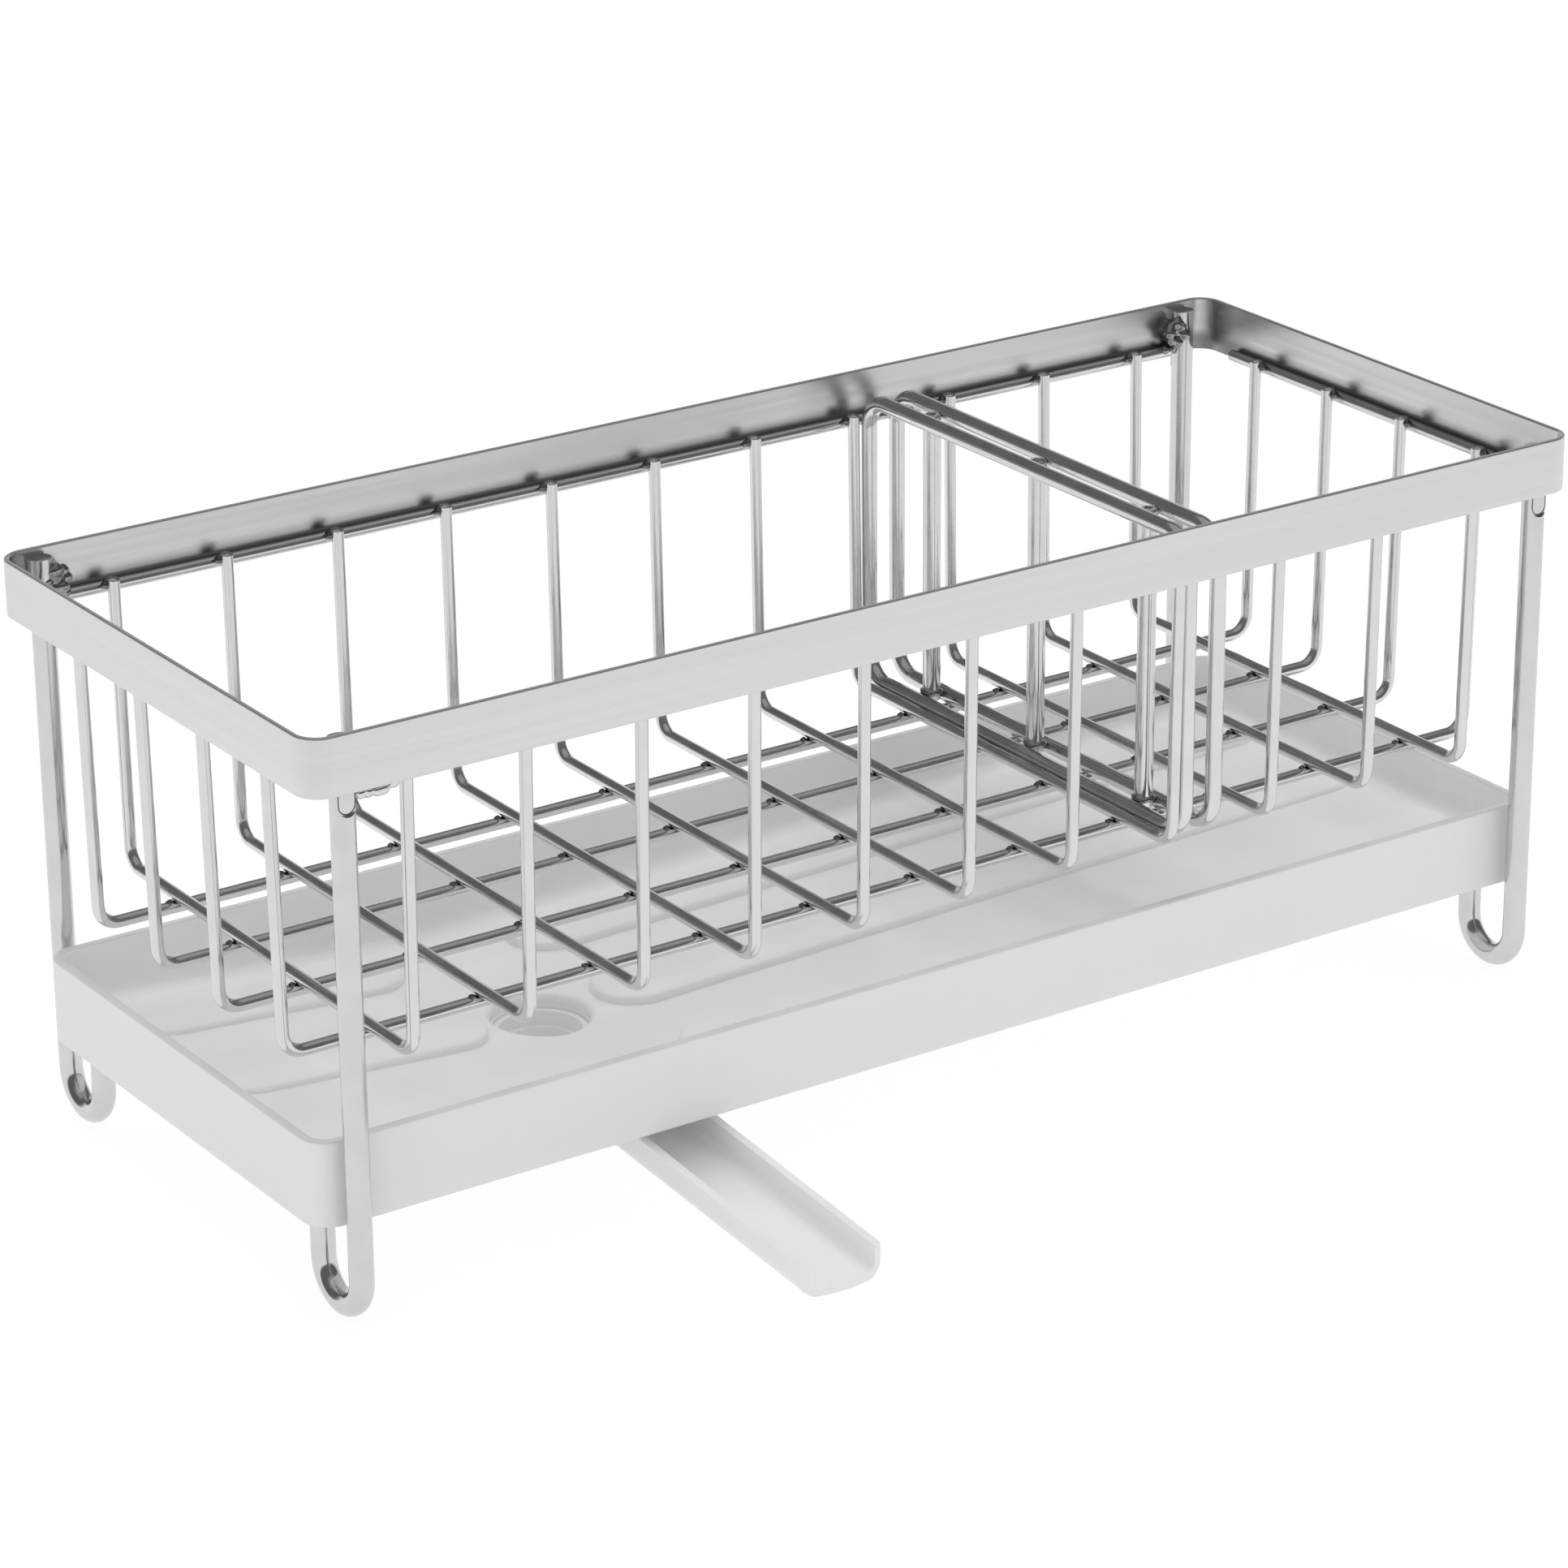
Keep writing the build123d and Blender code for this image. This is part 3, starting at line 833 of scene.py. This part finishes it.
def melt(name, spots, width, draw):
    """Balls of about the given shares of the width, melted together into one lump of weld."""
    lumps = []
    for x, y, z, share in spots:
        ball = bead(Vector((1.0, 0.85, 1.0)) * width * share * draw.uniform(0.85, 1.15))
        shift = Vector([draw.uniform(-0.05, 0.05) * width for axis in range(3)])
        ball.matrix_world = Matrix.Translation(Vector((x, y, z)) + shift)
        lumps.append(ball)
    piece = join_as(name, lumps)
    remesh = piece.modifiers.new("melt", "REMESH")
    remesh.mode = "VOXEL"
    remesh.voxel_size = 0.25 * MM
    smooth = piece.modifiers.new("flow", "SMOOTH")
    smooth.iterations = 3
    apply_modifiers(piece)
    return piece


class CADDY_OT_corner_welds(bpy.types.Operator):
    """Join each leg to the band and to the long rail beside it with a nugget, one with a drip below."""

    bl_idname = "caddy.corner_welds"
    bl_label = "Corner Welds"

    def execute(self, context):
        width = context.scene.caddy_welds.nugget
        draw = random.Random(7)
        spots = []
        for side_x in (-1, 1):
            for side_y in (-1, 1):
                spots += [(side_x * x, side_y * y, z, share) for x, y, z, share in nugget_spots(width, draw)]
        piece = melt("corner_welds", spots, width, draw)
        finish_piece(piece, "basket", "melted_steel")
        spots = [(-x, -y, z, share) for x, y, z, share in drip_spots(width)]
        piece = melt("rail_end_drip", spots, width, draw)
        finish_piece(piece, "basket", "weld_metal")
        return {"FINISHED"}


class CADDY_OT_leg_seams(bpy.types.Operator):
    """Draw the raised seam round the pressed flat at the top of each leg, just below the band."""

    bl_idname = "caddy.leg_seams"
    bl_label = "Leg Seams"

    def execute(self, context):
        radius = context.scene.caddy_welds.seam_radius
        tolerance = 0.01 * radius
        clear_selection()
        bpy.ops.mesh.primitive_circle_add(vertices=24, radius=radius, rotation=(math.pi / 2, 0, 0))
        model = bpy.context.view_layer.objects.active
        bpy.ops.object.transform_apply(rotation=True)
        edit_where(model, lambda co: co.z > tolerance)
        bpy.ops.mesh.delete(type="VERT")
        bpy.ops.object.mode_set(mode="OBJECT")
        edit_where(model, lambda co: co.z > -tolerance)
        bpy.ops.mesh.extrude_region_move(TRANSFORM_OT_translate={"value": (0, 0, 2 * radius)})
        bpy.ops.object.mode_set(mode="OBJECT")
        bpy.ops.object.convert(target="CURVE")
        model.data.bevel_depth = 0.13 * MM
        model.data.bevel_resolution = 2
        model.data.use_fill_caps = True
        bpy.ops.object.convert(target="MESH")
        seam_z = BAND_LOW.z - 2.3 * MM
        flat_y = BAND_HIGH.y - 1.05 * MM
        places = [Matrix.Translation((x, side * flat_y, seam_z)) for x in LEG_XS for side in (-1, 1)]
        piece = copies_at(model, places, "leg_seams")
        finish_piece(piece, "basket", "weld_oxide")
        return {"FINISHED"}


class CADDY_OT_divider_welds(bpy.types.Operator):
    """Weld the divider's bars between its two loops, flared at the foot and small at the top."""

    bl_idname = "caddy.divider_welds"
    bl_label = "Divider Welds"

    def execute(self, context):
        foot_size = Vector(context.scene.caddy_welds.bar)
        top_size = foot_size * 0.7
        feet = [Matrix.Translation((BAR_X, y, BAR_LOW_Z + 1.2 * DIVIDER_R)) for y in BAR_YS]
        tops = [Matrix.Translation((BAR_X, y, BAR_TOP_Z - 0.3 * DIVIDER_R)) for y in BAR_YS]
        lower = copies_at(bead(foot_size), feet, "bar_foot_welds")
        upper = copies_at(bead(top_size), tops, "bar_top_welds")
        piece = join_as("divider_welds", [lower, upper])
        roughen(piece, size=1.3 * MM, strength=0.8 * MM)
        finish_piece(piece, "divider", "melted_steel")
        return {"FINISHED"}


# ---- the photo stage --------------------------------------------------------------
WHITE = (1.0, 1.0, 1.0, 1.0)

# The floor: the light that it gives the object, and how the camera and polished steel see it.
FLOOR_SIZE = 6.0
FLOOR_GREY = (0.7, 0.7, 0.7, 1.0)
FLOOR_FILL = 0.32
SHADOW_GREY = (0.2, 0.2, 0.2, 1.0)
FLOOR_GLOW = 0.88
POOL_RADII = (0.2, 1.2)
POOL_GLOWS = (0.8, 0.6)

# The studio in polished steel: a bright curtain that stands higher at the back, and a dim ceiling.
TO_THE_BACK = (0.56, 0.83, 0.0)
CURTAIN_SLOPE = -0.5
CURTAIN_RISES = (-0.42, 0.12)
CURTAIN_GLOW = 0.8
OVERHEAD_RISES = (0.68, 0.84)
OVERHEAD_GAIN = 1.6


def ray_masks(tree):
    """Which rays the camera sees, straight or through glass, and those together with reflections."""
    path = fed_node(tree, "ShaderNodeLightPath")
    seen = math_node(tree, "MAXIMUM", path["Is Camera Ray"], path["Is Transmission Ray"])
    seen_or_mirrored = math_node(tree, "MAXIMUM", seen, path["Is Glossy Ray"])
    return seen, seen_or_mirrored


def stage_floor():
    """A floor that the camera sees as white and steel as pale, with the object's soft shadow left on it."""
    clear_selection()
    bpy.ops.mesh.primitive_plane_add(size=FLOOR_SIZE)
    floor = bpy.context.view_layer.objects.active
    floor.name = "stage_floor"
    material = bpy.data.materials.new("stage_floor")
    material.use_nodes = True
    tree = material.node_tree
    tree.nodes.clear()
    seen, seen_or_mirrored = ray_masks(tree)
    place = fed_node(tree, "ShaderNodeTexCoord")["Object"]
    pool = range_node(tree, vector_node(tree, "LENGTH", place), *POOL_RADII, *POOL_GLOWS)
    strength = mix_node(tree, "FLOAT", seen, pool, FLOOR_GLOW)
    shadowed = fed_node(tree, "ShaderNodeBsdfDiffuse", SHADOW_GREY)["BSDF"]
    glow = fed_node(tree, "ShaderNodeEmission", WHITE, strength)["Emission"]
    looks = fed_node(tree, "ShaderNodeAddShader", shadowed, glow)["Shader"]
    matte = fed_node(tree, "ShaderNodeBsdfDiffuse", FLOOR_GREY)["BSDF"]
    fill = fed_node(tree, "ShaderNodeEmission", WHITE, FLOOR_FILL)["Emission"]
    lights = fed_node(tree, "ShaderNodeAddShader", matte, fill)["Shader"]
    surface = fed_node(tree, "ShaderNodeMixShader", seen_or_mirrored, lights, looks)["Shader"]
    fed_node(tree, "ShaderNodeOutputMaterial", surface)
    floor.data.materials.append(material)


def stage_world(ceiling, ambient):
    """White backdrop for the camera; steel mirrors the curtain and a ceiling, brighter straight overhead."""
    world = bpy.data.worlds.new("studio")
    bpy.context.scene.world = world
    world.use_nodes = True
    tree = world.node_tree
    tree.nodes.clear()
    seen, seen_or_mirrored = ray_masks(tree)
    direction = fed_node(tree, "ShaderNodeTexCoord")["Generated"]
    up = fed_node(tree, "ShaderNodeSeparateXYZ", direction)["Z"]
    back = vector_node(tree, "DOT_PRODUCT", direction, TO_THE_BACK)
    rise = math_node(tree, "MULTIPLY_ADD", back, CURTAIN_SLOPE, up)
    curtain = range_node(tree, rise, *CURTAIN_RISES, CURTAIN_GLOW, ceiling)
    overhead = range_node(tree, up, *OVERHEAD_RISES, 0.0, OVERHEAD_GAIN * ceiling)
    mirrored = math_node(tree, "ADD", curtain, overhead)
    strength = mix_node(tree, "FLOAT", seen, mirrored, 1.0)
    lights = fed_node(tree, "ShaderNodeBackground", WHITE, ambient)["Background"]
    looks = fed_node(tree, "ShaderNodeBackground", WHITE, strength)["Background"]
    surface = fed_node(tree, "ShaderNodeMixShader", seen_or_mirrored, lights, looks)["Shader"]
    fed_node(tree, "ShaderNodeOutputWorld", surface)


def stage_lamp(name, place, aim, size, power):
    """A soft square lamp that doesn't show in the steel."""
    lamp = bpy.data.lights.new(name, "AREA")
    lamp.size = size
    lamp.energy = power
    holder = bpy.data.objects.new(name, lamp)
    bpy.context.scene.collection.objects.link(holder)
    holder.location = place
    holder.rotation_euler = (Vector(aim) - Vector(place)).to_track_quat("-Z", "Y").to_euler()
    holder.visible_glossy = False


def stage_camera(place, turn, lens):
    camera = bpy.data.cameras.new("photo_camera")
    camera.lens = lens
    camera.sensor_width = 36.0
    camera.clip_start = 0.01
    camera.clip_end = 20.0
    holder = bpy.data.objects.new("photo_camera", camera)
    bpy.context.scene.collection.objects.link(holder)
    holder.location = place
    holder.rotation_euler = Euler(turn, "XYZ")
    bpy.context.scene.camera = holder


class CADDY_OT_stage(bpy.types.Operator):
    """Set up the pale floor, the studio light and the camera."""

    bl_idname = "caddy.stage"
    bl_label = "Set Stage"

    def execute(self, context):
        stage = context.scene.caddy_stage
        stage_floor()
        stage_world(stage.ceiling, stage.ambient)
        stage_lamp("top_soft_light", place=(0.3, 0.5, 1.6), aim=(0, 0, 0.05), size=1.6, power=11.0)
        stage_camera(stage.camera_place, stage.camera_turn, stage.lens)
        context.scene.view_settings.view_transform = "Standard"
        return {"FINISHED"}


# ---- the add-on -------------------------------------------------------------------
class CADDY_PT_panel(bpy.types.Panel):
    """Buttons for each piece of the caddy."""

    bl_idname = "CADDY_PT_panel"
    bl_label = "Sink Caddy"
    bl_space_type = "VIEW_3D"
    bl_region_type = "UI"
    bl_category = "Caddy"

    def draw(self, context):
        for operator in OPERATORS:
            self.layout.operator(operator.bl_idname)


GROUPS = {
    "caddy_steel": CaddySteel,
    "caddy_plastic": CaddyPlastic,
    "caddy_welds": CaddyWelds,
    "caddy_stage": CaddyStage,
}
OPERATORS = [
    CADDY_OT_finishes,
    CADDY_OT_steel,
    CADDY_OT_plastic,
    CADDY_OT_floor_welds,
    CADDY_OT_rail_welds,
    CADDY_OT_corner_welds,
    CADDY_OT_leg_seams,
    CADDY_OT_divider_welds,
    CADDY_OT_stage,
]


def register():
    for name, group in GROUPS.items():
        bpy.utils.register_class(group)
        setattr(bpy.types.Scene, name, bpy.props.PointerProperty(type=group))
    for operator in OPERATORS:
        bpy.utils.register_class(operator)
    bpy.utils.register_class(CADDY_PT_panel)


def unregister():
    bpy.utils.unregister_class(CADDY_PT_panel)
    for operator in reversed(OPERATORS):
        bpy.utils.unregister_class(operator)
    for name, group in GROUPS.items():
        delattr(bpy.types.Scene, name)
        bpy.utils.unregister_class(group)


def main():
    register()
    for operator in OPERATORS:
        area, name = operator.bl_idname.split(".")
        getattr(getattr(bpy.ops, area), name)()


if __name__ == "__main__":
    main()
